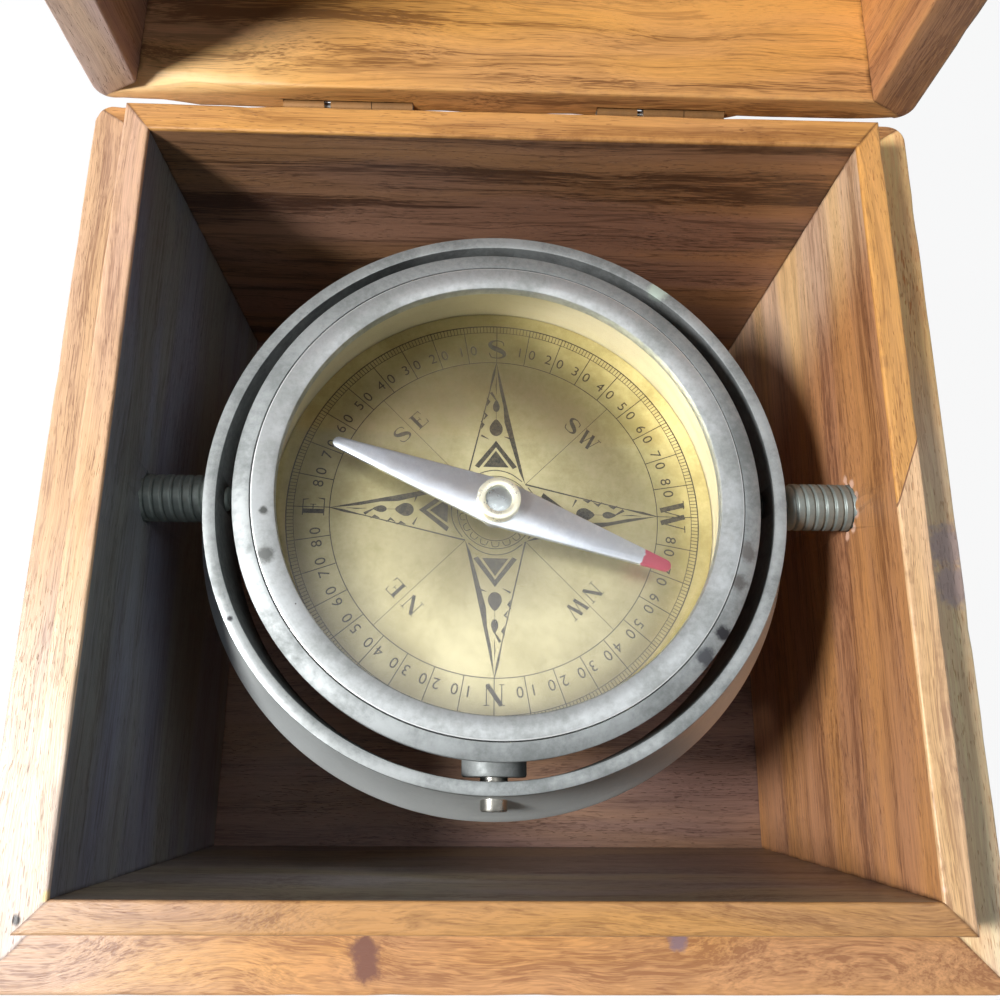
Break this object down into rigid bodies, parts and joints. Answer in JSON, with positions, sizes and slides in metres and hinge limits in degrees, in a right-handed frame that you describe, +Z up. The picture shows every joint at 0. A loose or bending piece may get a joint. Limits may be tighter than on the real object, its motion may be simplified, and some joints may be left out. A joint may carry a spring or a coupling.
{
  "type": "box compass",
  "caption": "Mariner's box compass: a needle compass in a weighted bowl, hung in a gimbal ring inside a square wooden case with a hinged lid.",
  "frame": {"origin": "centre of the case's underside", "axes": "+X to the right along the gimbal's studs, +Y to the back where the lid is hinged, +Z up"},
  "size_m": [0.1146, 0.143, 0.1762],
  "materials": {
    "case_wood": "oiled, worn along the edges",
    "lining_wood": "oiled, worn along the edges",
    "lid_wood": "oiled",
    "stud_steel": "threaded, dulled",
    "pin_steel": "turned, dulled",
    "hinge_brass": "dulled",
    "tarnished_nickel": "satin, spotted",
    "ballast_metal": "cast",
    "dial_brass": "aged, engraved and blacked",
    "cover_glass": "clear",
    "needle_steel": "polished, one end red",
    "cap_brass": "turned"
  },
  "bodies": {
    "case": {"outer_front": "case_wood", "outer_back": "case_wood", "outer_left": "case_wood", "outer_right": "case_wood", "lining_front": "lining_wood", "lining_back": "lining_wood", "lining_left": "lining_wood", "lining_right": "lining_wood", "base_panel": "case_wood", "stud_left": "stud_steel", "stud_right": "stud_steel", "box_leaf_left": "hinge_brass", "box_leaf_right": "hinge_brass", "hinge_pin_left": "pin_steel", "hinge_pin_right": "pin_steel", "box_leaf_screws": "hinge_brass"},
    "lid": {"lid_front": "lid_wood", "lid_back": "lid_wood", "lid_left": "lid_wood", "lid_right": "lid_wood", "lid_top": "lid_wood", "lid_leaf_left": "hinge_brass", "lid_leaf_right": "hinge_brass", "lid_leaf_screws": "hinge_brass"},
    "ring": {"gimbal_ring": "tarnished_nickel", "bowl_pivot_front": "pin_steel", "bowl_pivot_back": "pin_steel"},
    "bowl": {"bowl": "tarnished_nickel", "pivot_boss_front": "tarnished_nickel", "pivot_boss_back": "tarnished_nickel", "ballast_weight": "ballast_metal", "dial_plate": "dial_brass", "cover_glass": "cover_glass", "bezel_ring": "tarnished_nickel", "needle_post": "pin_steel"},
    "needle": {"needle_blade": "needle_steel", "needle_cap": "cap_brass", "cap_bearing": "pin_steel"}
  },
  "joints": [
    {"name": "lid_hinge", "type": "hinge", "parent": "case", "child": "lid", "pos_m": [0, 0.0568, 0.0632], "axis": [1, 0, 0], "range_deg": [0, 90]},
    {"name": "ring_pivot", "type": "hinge", "parent": "case", "child": "ring", "pos_m": [-0.0006, 0.0015, 0.05495], "axis": [1, 0, 0], "range_deg": [-35, 35]},
    {"name": "bowl_pivot", "type": "hinge", "parent": "ring", "child": "bowl", "pos_m": [-0.0006, 0.0015, 0.05495], "axis": [0, 0.9995, -0.0314], "range_deg": [-35, 35]},
    {"name": "needle_spin", "type": "hinge", "parent": "bowl", "child": "needle", "pos_m": [-0.0006, 0.0005, 0.05498], "axis": [0.0506, 0.0314, 0.9982], "continuous": true}
  ]
}
